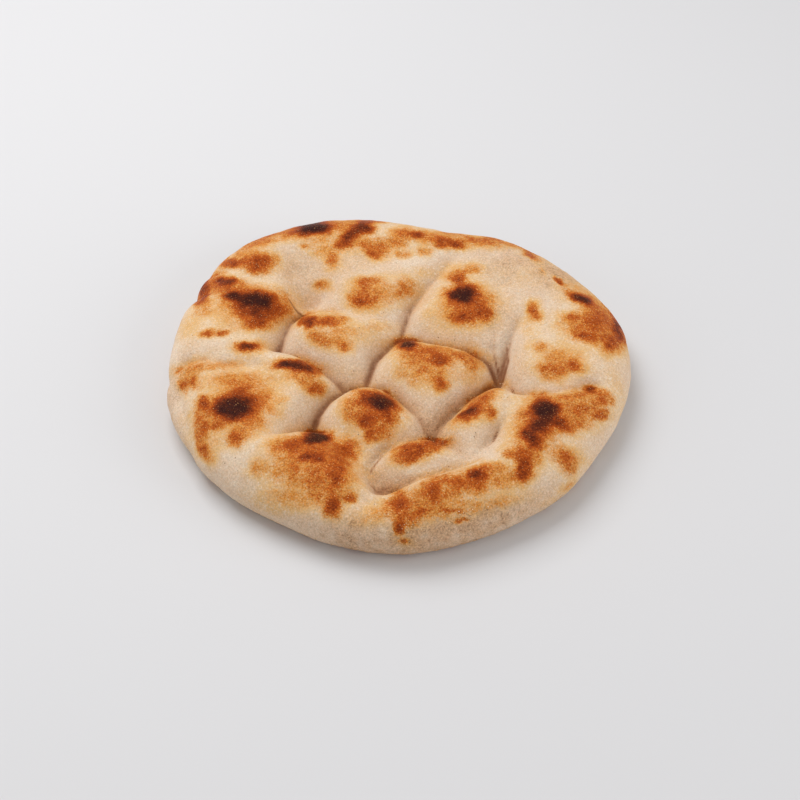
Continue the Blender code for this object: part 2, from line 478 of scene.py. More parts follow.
# Furrows between the pillows: (x, y, depth, half-width) along each. Their depth also sets painted shade in
# them, and all but the smooth ones get a painted shadow line along their bottom.
FURROWS: dict[str, Run] = {
    "upper_left": (
        (-46, 39, 9, 12), (-54, 40, 16, 14), (-60, 30, 14, 15), (-63, 18, 14, 16), (-66, 8, 18, 16),
    ),
    "middle_left": (
        (-66, 8, 18, 16), (-60, 6, 14, 14), (-52, 3, 13, 14), (-45, -3, 13, 15), (-36, -12, 14, 17),
        (-28, -19, 18, 18), (-18, -17, 17, 18),
    ),
    "upper_middle": (
        (-54, 40, 16, 13), (-42, 38, 11, 12), (-31, 34, 7, 14), (-13, 28, 6, 14), (1, 21, 12, 17),
    ),
    "long_diagonal": (
        (37, 80, 1, 8), (30, 73, 5, 10), (17, 58, 10, 15), (6, 40, 13, 18), (1, 21, 15, 20),
        (-13, 1, 15, 20), (-18, -17, 17, 18),
    ),
    "centre_back": (
        (1, 21, 15, 20), (22, 13, 14, 21), (36, 10, 14, 21), (48, 1, 16, 19), (53, -11, 20, 17),
    ),
    "right_fold": ((69, 31, 2, 10), (62, 19, 9, 10), (58, 8, 15, 11), (55, -2, 18, 13), (53, -11, 20, 17)),
    "right_fold_inner": ((54, 30, 2, 6), (52, 20, 8, 6), (51, 10, 12, 7), (53, -4, 15, 9)),
    "centre_front": ((53, -11, 20, 17), (38, -25, 15, 18), (21, -45, 15, 18), (17, -53, 18, 17)),
    "front_left_arc": (
        (-45, -47, 20, 16), (-42, -38, 16, 17), (-36, -27, 15, 18), (-28, -19, 18, 18), (-18, -17, 17, 18),
        (-9, -19, 14, 18), (0, -28, 14, 18), (10, -41, 13, 18), (17, -53, 18, 17),
    ),
    "front_left": (
        (-70, -65, 2, 7), (-63, -58, 8, 9), (-55, -52, 14, 12), (-45, -47, 20, 16), (-37, -51, 12, 13),
        (-29, -57, 5, 11),
    ),
    "front_middle": (
        (-9, -93, 19, 14), (-16, -76, 13, 12), (-8, -66, 12, 13), (2, -59, 12, 15), (17, -53, 18, 16),
        (34, -71, 10, 13),
    ),
    "front_rim": ((-9, -93, 19, 14), (12, -87, 9.5, 15), (34, -78, 10, 14), (50, -73, 3, 11)),
    "front_rim_end": ((-9, -93, 19, 15), (-16, -99, 6, 13), (-26, -108, 2, 12)),
    "right_front": (
        (53, -11, 20, 17), (61, -23, 15, 12), (61, -32, 3, 10), (55, -46, 3, 9), (50, -56, 9, 9),
        (44, -65, 9, 11), (36, -73, 10, 12),
    ),
    "right_valley": (
        (61, -23, 15, 12), (72, -28, 9, 13), (90, -28, 8, 12), (99, -27, 8, 9), (108, -28, 1, 9),
    ),
    "left_ledge": (
        (-124, -14, 2, 8), (-114, -6, 5, 7), (-98, -10, 5, 7), (-84, -11, 5, 7), (-73, -12, 4, 8),
    ),
    "left_groove": ((-106, 68, 3, 5), (-90, 60, 3, 5), (-80, 55, 3, 4), (-67, 51, 1, 4)),
    "left_notch": ((-128, 53, 6, 12), (-102, 46, 2, 9)),
    "left_skirt": ((-113, -16, 2, 6), (-117, -30, 5, 7), (-111, -48, 3, 6), (-106, -62, 1, 6)),
    "left_crescent": ((-103, -19, 2, 5), (-108, -27, 3, 5), (-108, -38, 1, 5)),
}
# Soft hollows: (x, y, depth, half-width) along each
HOLLOWS: dict[str, Run] = {
    "upper_left": ((-60, 88, 1, 14), (-57, 76, 3, 16), (-54, 63, 10, 18), (-50, 49, 18, 18)),
    "behind_upper_right": ((24, 74, 2, 18), (44, 82, 3, 16), (62, 76, 1, 18)),
    "right_of_upper_right": ((52, 64, 1, 9), (56, 52, 4, 10), (58, 40, 3, 9)),
    "behind_upper_middle": ((-34, 70, 1, 18), (-5, 74, 2, 20), (22, 76, 2, 18)),
    "left_middle": ((-74, -12, 3, 10), (-67, -26, 4, 12), (-64, -40, 2, 12)),
    "front_left_valley": ((-40, -50, 9, 15), (-26, -62, 10, 17), (-15, -76, 11, 16), (-9, -93, 13, 14)),
    "front_right": ((38, -70, 9, 14), (47, -63, 6, 12)),
    "front_rim_end": ((-16, -103, 6, 13), (-6, -102, 7, 13), (10, -102, 1, 12)),
    "dimple": ((53, 43, 2, 6), (58, 41, 2, 6)),
}
# Creases in the skin, each a shallow groove with painted shade and a painted shadow line along it: (x, y,
# strength, half-width) along each
CREASES: dict[str, Run] = {
    "left_pit": (
        (-62, 48, 0.9, 5), (-60, 45, 1, 6), (-57, 42.2, 1, 6), (-54.5, 41.2, 1, 6), (-51, 41, 0.95, 6),
        (-49, 42, 0.8, 5),
    ),
    "front_middle": (
        (-14.5, -77.5, 1, 5), (-11.6, -72.5, 1, 5), (-8.6, -68.2, 0.95, 5), (-5.6, -64.7, 0.88, 4),
    ),
    "front_pit": ((-14, -87, 0.93, 9), (-9, -89, 1, 13), (-4, -88, 0.93, 9)),
    "fold_outer": ((58, 14, 0.88, 5), (58.4, 2.3, 1, 6), (54.9, -9.6, 1, 8)),
    "fold_inner": ((50.1, 9.1, 0.88, 4), (52.1, 3, 0.97, 5), (54.1, -5.1, 1, 7)),
    "right_pit": ((58.7, -15.3, 0.9, 5), (60.1, -19, 1, 5), (60.6, -24, 0.95, 5)),
    "right_dash": ((96.5, -26, 0.9, 3.5), (100.4, -26, 1, 4), (103, -26, 0.9, 3)),
    "centre_pit": ((16.5, -51.5, 1, 8), (21, -46, 1, 6), (30, -35, 0.9, 5)),
    "right_front": ((50.4, -53.5, 0.92, 4), (49.3, -56.5, 1, 6), (47.6, -60.9, 1, 5), (44.9, -64, 0.86, 4)),
    "left_ledge": (
        (-116, -7, 0.6, 4), (-108, -9.5, 0.8, 4), (-100, -12, 0.85, 4), (-90, -11.5, 0.86, 4),
        (-80, -9, 0.82, 4), (-71, -11, 0.6, 4),
    ),
    "right_valley": (
        (62, -27, 0.9, 5), (72, -30, 0.88, 4.5), (84, -30.5, 0.86, 4.5), (94, -28, 0.86, 4),
        (100, -26.5, 0.95, 4),
    ),
    "left_groove": ((-100, 54, 0.7, 4), (-87.6, 50.6, 0.85, 4), (-71, 47.4, 0.88, 4), (-62, 45, 0.9, 4)),
    "left_front_pit": ((-49, -43.6, 0.86, 12), (-45, -45, 0.93, 15), (-41.8, -46.5, 0.88, 12)),
}


@dataclass
class PressedTop:
    """How far fingers pressed the top in: furrows with a sharp bottom, soft hollows and fine creases.

    The furrows named as smooth have no painted shadow line along their bottom.
    """

    furrows: dict[str, Run] = field(default_factory=lambda: FURROWS)
    hollows: dict[str, Run] = field(default_factory=lambda: HOLLOWS)
    creases: dict[str, Run] = field(default_factory=lambda: CREASES)
    smooth: tuple[str, ...] = ("front_middle", "right_front", "front_rim_end")
    groove: float = 1.1
    lean: float = 0.25
    step: float = 0.75
    reach: float = 141.0
    rounding: float = 4.9
    spreading: float = 0.4
    # Depth that gives full painted shade in a furrow, and how a furrow's depth sets the strength of its
    # painted shadow line
    deep: float = 18.0
    line_power: float = 0.3

    def __post_init__(self) -> None:
        """Works out the map of depths."""
        side = np.arange(-self.reach, self.reach + self.step, self.step)
        x, y = np.meshgrid(side, side)
        furrows = [self._furrow(x, y, run) for run in self.furrows.values()]
        hollows = [self._hollow(x, y, run) for run in self.hollows.values()]
        depth = np.max(furrows + hollows, axis=0)
        for _ in range(round((self.rounding / self.step) ** 2 / self.spreading)):
            depth = np.maximum(depth, self._blurred(depth))
        grooves = [self._hollow(x, y, run) for run in self.creases.values()]
        self.depths = self._blurred(depth) + self.groove * np.max(grooves, axis=0)

    @staticmethod
    def _along(
        x: Array, y: Array, run: Run, lean: float
    ) -> Iterator[tuple[Array, Array]]:
        """Goes along a run, stretch by stretch.

        Args:
            x: Places across the loaf.
            y: Places along the loaf.
            run: The run.
            lean: How much wider its far side is than its near side.

        Yields:
            The distance of each place from the stretch in half-widths, and the stretch's depth there.
        """
        for start, end in zip(run, run[1:]):
            across, along = end[0] - start[0], end[1] - start[1]
            t = held(((x - start[0]) * across + (y - start[1]) * along) / (across**2 + along**2))
            beyond = y - start[1] - t * along
            distance = np.hypot(x - start[0] - t * across, beyond)
            width = (start[3] + t * (end[3] - start[3])) * (1 + lean * beyond / np.maximum(distance, 0.01))
            yield held(distance / width), start[2] + t * (end[2] - start[2])

    def _furrow(self, x: Array, y: Array, run: Run) -> Array:
        """Depth of one furrow: steep at its line, most on its near side, rounding into the pillows."""
        return np.max([depth * (1 - t) ** 2 for t, depth in self._along(x, y, run, self.lean)], axis=0)

    def _hollow(self, x: Array, y: Array, run: Run) -> Array:
        """Depth of one hollow: a soft trough without an edge."""
        return np.max([depth * (1 - t**2) ** 2 for t, depth in self._along(x, y, run, 0.0)], axis=0)

    @staticmethod
    def _blurred(values: Array) -> Array:
        """Each value of a map averaged with its four neighbours."""
        near = sum(np.roll(values, step, axis) for step in (-1, 1) for axis in (0, 1))
        return (values + near) / 5

    def crease(self, x: Array, y: Array) -> Array:
        """Closeness to the line where two pillows meet, which sets where painted shade and a painted shadow
        line go on the crust.

        Args:
            x: Places across the loaf.
            y: Places along the loaf.

        Returns:
            1 on the line of a deep furrow or a crease, 0 well away from any.
        """
        near = [
            (1 - t) * held(depth / self.deep) ** self.line_power
            for name, run in self.furrows.items()
            if name not in self.smooth
            for t, depth in self._along(x, y, run, self.lean)
        ]
        for run in self.creases.values():
            near += [(1 - t) * share for t, share in self._along(x, y, run, 0.0)]
        return np.max(near, axis=0)

    def depth(self, x: Array, y: Array) -> Array:
        """How far the top is pressed in.

        Args:
            x: Places across the loaf.
            y: Places along the loaf.

        Returns:
            The depth at each place.
        """
        across = (x + self.reach) / self.step
        along = (y + self.reach) / self.step
        column, row = np.floor(across).astype(int), np.floor(along).astype(int)
        right, up = across - column, along - row
        values = self.depths
        below = values[row, column] * (1 - right) + values[row, column + 1] * right
        above = values[row + 1, column] * (1 - right) + values[row + 1, column + 1] * right
        return below * (1 - up) + above * up


@dataclass
class Loaf:
    """The loaf's outer form: rings of points from the middle of the top to the middle below."""

    radii: tuple[float, ...] = (
        124.5, 125.5, 121.5, 119.5, 117.5, 111.5, 116.0, 123.0, 128.5, 132.0, 129.0, 125.5,
        124.0, 125.5, 122.5, 120.5, 118.5, 120.5, 121.5, 119.5, 118.0, 118.5, 117.5, 120.5,
    )
    waist: float = 12.5
    crown: float = 31.0
    shoulder: float = 25.0
    tuck: float = 9.0
    rim_rise: float = 3.0
    rim_inset: float = 24.0
    rim_spread: float = 11.0
    columns: int = 832
    spacing: float = 1.05
    below_spacing: float = 3.0
    closest: float = 0.62
    fewest: int = 13
    lump: float = 0.45
    lump_sizes: tuple[float, float] = (13.0, 4.5)
    small_lump: float = 0.4
    top: PressedTop = field(default_factory=PressedTop)

    def edge_radius(self, angle: Array) -> Array:
        """The widest line, a smooth closed curve through the radii.

        Args:
            angle: Angles about the middle.

        Returns:
            The radius at each angle.
        """
        knots = np.asarray(self.radii)
        place = np.mod(angle / (2 * np.pi), 1.0) * len(knots)
        first = np.floor(place).astype(int)
        t = place - first
        before, start, end, after = (knots[(first + step) % len(knots)] for step in (-1, 0, 1, 2))
        bend = 2 * before - 5 * start + 4 * end - after
        twist = 3 * (start - end) + after - before
        return start + 0.5 * t * (end - before + t * (bend + t * twist))

    def _columns_at(self, radius: float, spacing: float) -> int:
        """Halves the full number of points for as long as they lie closer than the spacing.

        Args:
            radius: The ring's radius.
            spacing: Distance to keep between points.

        Returns:
            Points on the ring.
        """
        count = self.columns
        while count > self.fewest and 2 * math.pi * radius / count < self.closest * spacing:
            count //= 2
        return count

    def _ring(self, count: int, inset: float, share: float, height: float, tilt: float) -> Array:
        """One ring of the pressed loaf.

        Args:
            count: Points on the ring.
            inset: How far inside the widest line it lies.
            share: Part of what is left of the radius, 1 on the edge's rows.
            height: Height on the plain loaf.
            tilt: Turn of the surface's normal from straight up.

        Returns:
            The ring's points.
        """
        angle = np.linspace(0, 2 * np.pi, count, endpoint=False)
        edge = self.edge_radius(angle)
        radius = (edge - inset) * share
        x, y = radius * np.cos(angle), radius * np.sin(angle)
        rim = self.rim_rise * np.exp(-(((edge - radius - self.rim_inset) / self.rim_spread) ** 2))
        fade = min(2 - tilt / (math.pi / 2), 1.0)
        places = np.stack([x, y, np.full(count, height)], axis=1)
        large, small = (uneven(places, size) for size in self.lump_sizes)
        lumps = self.lump * (large + self.small_lump * small)
        lift = (rim - self.top.depth(x, y) + lumps) * fade
        out = radius + lift * math.sin(tilt)
        up = height + lift * math.cos(tilt)
        return np.stack([out * np.cos(angle), out * np.sin(angle), up], axis=1)

    def _rows(self, across: float, rise: float) -> int:
        """Rows down a quarter of an ellipse."""
        return round(math.pi / 2 * math.hypot(across, rise) / math.sqrt(2) / self.spacing)

    def _disc(self, inset: float, spacing: float, height: float, tilt: float) -> list[Array]:
        """The rings of the top or of the flat underside.

        Args:
            inset: How far inside the widest line the outermost ring lies.
            spacing: Distance between rings.
            height: Height on the plain loaf.
            tilt: Turn of the surface's normal from straight up.

        Returns:
            The rings, the smallest first.
        """
        reach = float(np.mean(self.radii)) - inset
        rows = round(reach / spacing)
        shares = [row / rows for row in range(1, rows + 1)]
        counts = [self._columns_at(reach * share, spacing) for share in shares]
        return [self._ring(count, inset, share, height, tilt) for count, share in zip(counts, shares)]

    def rings(self) -> list[Array]:
        """All rings, the middle of the top first and the middle below last."""
        rings = self._disc(self.shoulder, self.spacing, self.crown, 0.0)
        rise = self.crown - self.waist
        rows = self._rows(self.shoulder, rise)
        for row in range(1, rows + 1):
            turn = math.pi / 2 * row / rows
            inset = self.shoulder * (1 - math.sin(turn))
            tilt = math.atan2(rise * math.sin(turn), self.shoulder * math.cos(turn))
            rings.append(self._ring(self.columns, inset, 1.0, self.waist + rise * math.cos(turn), tilt))
        rows = self._rows(self.tuck, self.waist)
        for row in range(1, rows + 1):
            turn = math.pi / 2 * row / rows
            inset = self.tuck * (1 - math.cos(turn))
            tilt = math.pi / 2 + math.atan2(self.tuck * math.sin(turn), self.waist * math.cos(turn))
            rings.append(self._ring(self.columns, inset, 1.0, self.waist * (1 - math.sin(turn)), tilt))
        rings += self._disc(self.tuck, self.below_spacing, 0.0, math.pi)[-2::-1]
        middle = self.crown - self.top.depth(np.zeros(1), np.zeros(1))[0]
        return [np.array([[0.0, 0.0, middle]]), *rings, np.zeros((1, 3))]

    def mesh(self) -> tuple[Array, list[tuple[int, ...]]]:
        """The closed surface.

        Returns:
            Points in millimetres on the pattern's own origin, and faces that point outwards.
        """
        rings = self.rings()
        faces: list[tuple[int, ...]] = []
        first = 0
        for upper, lower in zip(rings, rings[1:]):
            second = first + len(upper)
            faces += self._between(first, len(upper), second, len(lower))
            first = second
        return np.concatenate(rings), faces

    @staticmethod
    def _between(upper: int, above: int, lower: int, below: int) -> list[tuple[int, ...]]:
        """Faces between two neighbouring rings, where one may hold a whole multiple of the other's points.

        Args:
            upper: First point of the ring above.
            above: Points on it.
            lower: First point of the ring below.
            below: Points on it.

        Returns:
            The faces.
        """
        if above == below:
            beside = [(column + 1) % above for column in range(above)]
            return [(upper + a, lower + a, lower + b, upper + b) for a, b in enumerate(beside)]
        rings = [(above, upper), (below, lower)]
        (few, coarse), (many, fine) = sorted(rings)
        times = many // few
        faces = [(coarse + a // times, fine + a, fine + (a + 1) % many) for a in range(many)]
        for a in range(few if few > 1 else 0):
            faces.append((coarse + a, fine + (a + 1) * times % many, coarse + (a + 1) % few))
        if above > below:
            faces = [(a, c, b) for a, b, c in faces]
        return faces


# Browning


def placed(name: str, data: bpy.types.ID) -> bpy.types.Object:
    """Adds an object to the scene.

    Args:
        name: Name of the object.
        data: Its mesh, light or camera.

    Returns:
        The object.
    """
    made = bpy.data.objects.new(name, data)
    bpy.context.scene.collection.objects.link(made)
    return made


@dataclass(frozen=True)
class Spot:
    """A browned spot: an ellipse on the slanted plan, in millimetres and degrees. 100 is char."""

    across: float
    along: float
    width: float
    length: float
    heat: float
    turn: float = 0.0


@dataclass
class Browning:
    """Where the crust browned. Places are read on a plan that slants as the loaf is seen from the front."""

    spots: tuple[Spot, ...]
    level: float = 28.0
    eye_back: float = 613.0
    eye_height: float = 615.0
    edge: float = 2.3
    falloff: float = 0.7
    side_on: float = 0.08
    fading: float = 0.28
    sway: tuple[Span, Span] = ((2.0, 9.0), (1.2, 3.6))
    back_wall: Span = (85.0, 20.0)
    hottest: float = 0.8

    def heat(self, points: Array, normals: Array) -> Array:
        """Browning of each point: the spots, and uneven patches where the crust faces the back.

        Args:
            points: Points in millimetres on the pattern's own origin.
            normals: The surface's normal at each point.

        Returns:
            0 for pale dough up to 1 for char.
        """
        eye = np.array([0.0, -self.eye_back, self.eye_height]) - points
        facing = np.einsum("ij,ij->i", eye, normals) / np.linalg.norm(eye, axis=1)
        away = held((self.side_on - facing) / self.fading)
        away = away * away * (3 - 2 * away)
        return self._spotted(points) * (1 - away) + self._patched(points) * away

    def _wavering(self, points: Array, shift: float) -> Array:
        """How far the rim of each spot wanders, in millimetres."""
        return sum(part * uneven(points, size, shift) for part, size in self.sway)

    def _patched(self, points: Array) -> Array:
        """Uneven browning of the loaf's back wall, which no spot describes. The furrows stay pale."""
        inner, over = self.back_wall
        patches = 0.16 + 0.75 * uneven(points, 15.0, 5.0) + 0.4 * uneven(points, 6.0)
        outer = held((np.hypot(points[:, 0], points[:, 1]) - inner) / over)
        return held(0.08 + patches * outer, self.hottest)

    def _spotted(self, points: Array) -> Array:
        """Browning by the spots alone. Cubes are summed, so the hottest spot wins.

        Args:
            points: Points in millimetres on the pattern's own origin.

        Returns:
            0 for pale dough up to 1 for char.
        """
        nearer = (self.eye_height - self.level) / (self.eye_height - points[:, 2])
        across = points[:, 0] * nearer + self._wavering(points, 11.0)
        along = (points[:, 1] + self.eye_back) * nearer - self.eye_back + self._wavering(points, 23.0)
        total = np.zeros(len(points))
        for spot in self.spots:
            turn = math.radians(spot.turn)
            x, y = across - spot.across, along - spot.along
            u = (x * math.cos(turn) + y * math.sin(turn)) / spot.width
            v = (y * math.cos(turn) - x * math.sin(turn)) / spot.length
            far = np.hypot(u, v) ** self.edge
            total += (spot.heat / 100 * np.exp(-self.falloff * far)) ** 3
        return np.cbrt(total)


def browned_spots() -> tuple[Spot, ...]:
    """The browned spots, from the back of the loaf to its front."""
    rows = (
        # back rim
        (-49, 102, 11, 6, 105, 12), (-58, 100, 10, 7, 50, 20), (-21, 102, 6, 6, 78),
        (-28, 95, 8, 5, 72, 50), (-32, 86, 5, 5, 62), (-18, 108, 10, 3, 55), (-36, 104, 16, 8, 42),
        (-75, 94, 16, 7, 42, 30), (-53.5, 85, 3, 3, 42), (-45, 92, 10, 9, 30), (-37.5, 74, 5, 8, 44),
        (-40, 82, 10, 8, 30), (-42.5, 52.5, 5, 5, 38), (-13, 80, 7, 6, 52), (-15, 87, 14, 8, 42),
        (5, 97, 10, 6, 46, -10), (11, 96, 5, 4, 60), (25, 92, 16, 7, 48, -8), (25, 86, 5, 4, 58),
        (33, 87, 5, 4, 60), (48, 90, 16, 5, 46, -6), (14, 81, 5, 4, 36), (2, 79, 5, 4, 38),
        (-2, 90, 10, 8, 36), (74.5, 78, 3.5, 8, 50, 40), (66, 88, 10, 4, 36, -20), (40, 66, 7, 5, 30),
        # upper left
        (-93.5, 71, 8, 5, 62, 10), (-80, 71, 10, 10, 60), (-96, 55.5, 6, 4, 74), (-104, 57, 8, 8, 50),
        (-108, 48, 3.5, 12, 66, 10), (-88, 84, 14, 6, 34, 40), (-79, 39.5, 12.5, 7.5, 104),
        (-74, 30, 11, 8, 59), (-91, 43, 5, 4.5, 84), (-78, 35, 18, 15, 52), (-77, 22, 9, 7, 56),
        (-65, 31, 6, 8, 50), (-95, 49, 12, 8, 50), (-80.5, 3, 6, 4, 80), (-80, 2, 9, 6, 40),
        (-103, 13, 5, 3, 50, 20), (-95, 13.5, 3, 3, 45), (-106, 32, 7, 8, 30), (-112, 20, 8, 12, 16),
        (-110, 38, 4, 6, 50), (-90, 18, 14, 8, 20),
        # upper middle
        (-18, 55, 9, 5, 46, 10), (-18, 42, 10, 10, 46), (-23, 39, 5, 5, 50), (3, 50, 8, 9, 36),
        (-8, 46, 18, 12, 30), (12, 62, 8, 5, 16),
        # second pillow of the middle
        (-49, 22, 5, 5, 68), (-37, 22.5, 9, 4, 50), (-44, 24, 14, 6, 44), (-45, 11, 5, 6, 40),
        (-38, 7, 8, 6, 42, -30), (-29, 3, 4, 6, 44), (-32, 14, 18, 8, 28, -10), (-12, 18, 12, 5, 22, -10),
        # upper right
        (35, 45, 8, 7, 108), (38, 36, 14, 15, 58), (33, 57, 5, 7, 56), (33, 25, 7, 6, 52),
        (46, 30, 6, 7, 54), (31, 60, 8, 8, 34), (40.5, 64.5, 6, 4, 34, 20), (18, 30, 8, 8, 16),
        (24, 18, 10, 6, 14), (73, 30.5, 4, 7, 54), (71, 18, 6, 8, 18), (100, 40.5, 8, 3.2, 86, -33),
        (100, 41, 13, 7, 42, -33), (89, 55, 4.5, 1.4, 66, -52), (79, 65, 3, 4, 25),
        (88, 72, 10, 8, 16, -50), (60, 62, 20, 10, 12), (97, 48, 12, 6, 26, -40),
        # right
        (118, 16, 3.5, 13, 72, 3), (112, 5, 6, 8, 56), (101, 10.5, 6, 5, 52), (94, 26, 7, 5, 46),
        (108, 26, 10, 14, 50, 10), (100, 18, 14, 12, 42), (112, 12, 8, 15, 38), (80, -14, 8, 8, 48),
        (92, -12, 5, 6, 48), (86, -5, 12, 10, 30), (75, 3, 6, 5, 34), (84, -8, 16, 12, 22),
        # middle pillow
        (4.5, 5, 6, 5, 86), (3, 5, 10, 6, 42), (15, -3, 16, 8, 44), (21, -8, 6, 5, 52),
        (38, -8, 6, 10, 44, 10), (26, -3, 20, 6, 36, -8), (21.5, -25, 4, 6, 54), (16, -14, 16, 14, 37),
        (6, -18, 8, 10, 24), (36, -20, 8, 8, 20),
        # right middle, long pillow
        (38, -43, 15, 5.5, 50, 48), (35, -46, 6.5, 4.2, 76, 48), (46, -45.5, 3.5, 5, 50),
        (50, -27, 6, 4, 36, 20), (44, -34, 9, 5, 38, 45), (40, -42, 16, 9, 24, 48),
        # right front
        (74.5, -44, 7.5, 8.5, 100), (69.5, -55, 6, 6, 82), (67, -64, 5, 7, 76), (82, -54, 7, 5, 68, -30),
        (72, -52, 13, 13, 54), (92, -42, 15, 10, 44, 20), (102, -46.5, 5, 5, 50), (106, -36, 5, 6, 48),
        (98, -32, 10, 3, 46), (80, -35, 18, 3, 40), (62, -76, 7, 8, 54, 20), (61.5, -86, 5, 9, 66, -12),
        (55.5, -74, 5, 5, 40), (81, -77, 6, 9, 46, 20), (84, -85, 4, 5, 42, 20), (84, -79, 9, 11, 24, 20),
        (100, -29, 4, 2.5, 60), (66, -66, 11, 15, 38, -10), (88, -54, 14, 8, 36, 20), (56, -90, 8, 5, 34),
        (112, -36, 5, 22, 12, 4), (84, -97, 7, 4, 30, 40), (76, -106, 8, 3, 20, 30),
        # left front pillow
        (-85, -42.5, 11, 8.5, 105), (-82, -32, 6, 5, 58), (-80, -40, 16, 17, 52), (-101, -38.5, 5, 5, 56),
        (-100, -55, 4.5, 12, 50, 4), (-97, -72, 4, 8, 52, 20), (-82, -64.5, 5, 7, 54),
        (-92.5, -55.5, 4, 4, 52), (-107, -24, 4, 6, 46, 20), (-111.5, -27, 3, 7, 46, 10),
        (-118.5, -51.5, 2.5, 3, 60), (-98, -48, 9, 20, 20), (-84, -22, 20, 8, 34), (-98, -12, 16, 4, 34, 5),
        (-112, -16, 8, 5, 34), (-70, -84, 5, 6, 30), (-76, -56, 8, 8, 30), (-106, -10, 10, 5, 24, 30),
        (-60, -37, 4, 4, 25), (-90, -66, 14, 8, 20),
        # left middle, small pillow
        (-58, -10.5, 8, 4, 94, 8), (-49, -14, 8, 3.6, 74, -22), (-53, -12, 14, 5, 46, -10),
        (-43, -29, 5, 5.5, 56), (-52, -20, 10, 7, 34, -30), (-46, -24, 9, 8, 28, -40),
        # front left of the middle
        (-10, -38.5, 10, 6, 98, -38), (-20, -31, 7, 3, 38, -10), (-17, -52, 7, 6, 58), (-9, -59, 6, 6, 50),
        (-14.5, -62.5, 4, 5, 52), (-13, -46, 14, 12, 48, -20), (-5, -48, 5, 8, 46, 20),
        (-24, -46, 6, 8, 34), (-18, -40, 14, 8, 36, -20),
        # front left pillow
        (-41, -63.5, 7.5, 4.5, 98), (-40.5, -78, 5, 4.5, 68), (-47, -75.5, 4, 4, 66),
        (-27, -72.5, 7, 8, 54), (-30, -87, 6, 13, 52), (-32, -109, 5, 6.5, 62), (-23, -103, 5, 4, 46),
        (-42, -72, 20, 12, 48), (-40, -88, 22, 12, 39), (-56, -68, 10, 7, 46, 20), (-36, -98, 14, 10, 38),
        (-50, -103, 18, 9, 30), (-58, -84, 12, 12, 30),
        # front middle pillow
        (10, -71, 13, 6, 58, 12), (5, -76, 7, 4, 48, 30), (18, -66, 8, 3, 56, -5), (4, -77, 10, 6, 30, 20),
        # front rim
        (38.5, -88, 5, 4, 78), (38, -91, 15, 7, 42), (24, -93, 13, 6, 40), (16.5, -99, 5, 8, 54),
        (0, -105, 6, 7, 50), (0, -122, 3.5, 5, 60), (3, -131, 4, 3, 42), (12, -112, 5, 2.5, 44, 10),
        (22, -111, 4, 2.5, 46, 10), (30, -118, 4, 1.4, 44, 8), (28, -98, 20, 7, 38, 10),
        (2, -112, 10, 10, 42), (46, -84, 10, 4, 40), (-8, -112, 10, 6, 28, 20), (12, -104, 14, 8, 38),
        (30, -108, 16, 5, 32), (50, -96, 10, 6, 24, 20), (-14, -118, 12, 5, 22), (-28, -18, 13, 8, 7),
        (-58, 65, 12, 14, 7), (-50, -44, 10, 8, 7), (-23, -115, 12, 6, 10), (78, 61, 14, 12, 7),
        (-27, 69, 14, 10, 6), (22, -113, 18, 5, 34, 6), (6, -117, 10, 6, 32), (48, -106, 14, 4, 28, 14),
        (27, -112, 4, 1.6, 50),
    )
    return tuple(Spot(*row) for row in rows)


# Grains on the crust


